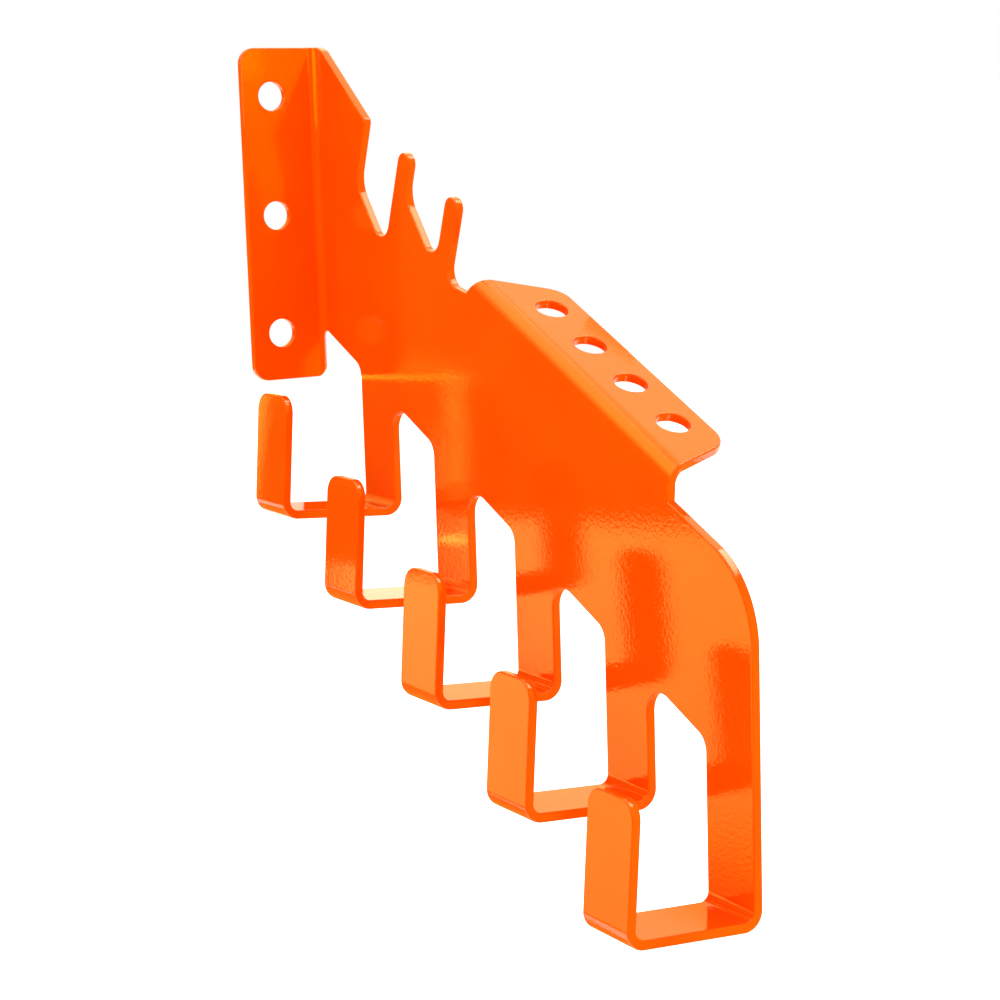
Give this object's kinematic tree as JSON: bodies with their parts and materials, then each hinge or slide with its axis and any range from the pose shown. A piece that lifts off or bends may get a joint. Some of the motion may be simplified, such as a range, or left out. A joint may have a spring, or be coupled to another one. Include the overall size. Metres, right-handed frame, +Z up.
{
  "type": "chainsaw rack",
  "caption": "Folded sheet-steel wall rack for chainsaw tools: a stair of J-shaped hooks hangs from a sloping web with notched slots, prongs and a drilled tool shelf.",
  "frame": {"origin": "on the flange's wall face, on the line of the screw holes, midway between the top and middle holes", "axes": "+Z up along the line of the screw holes, +Y into the wall, +X to the right for someone facing the wall, which is the tool shelf's side"},
  "size_m": [0.0468, 0.1707, 0.1721],
  "materials": {
    "coat": "gloss orange powder coat with a light orange peel"
  },
  "bodies": {
    "root": {"rack_sheet": "coat"}
  },
  "joints": []
}
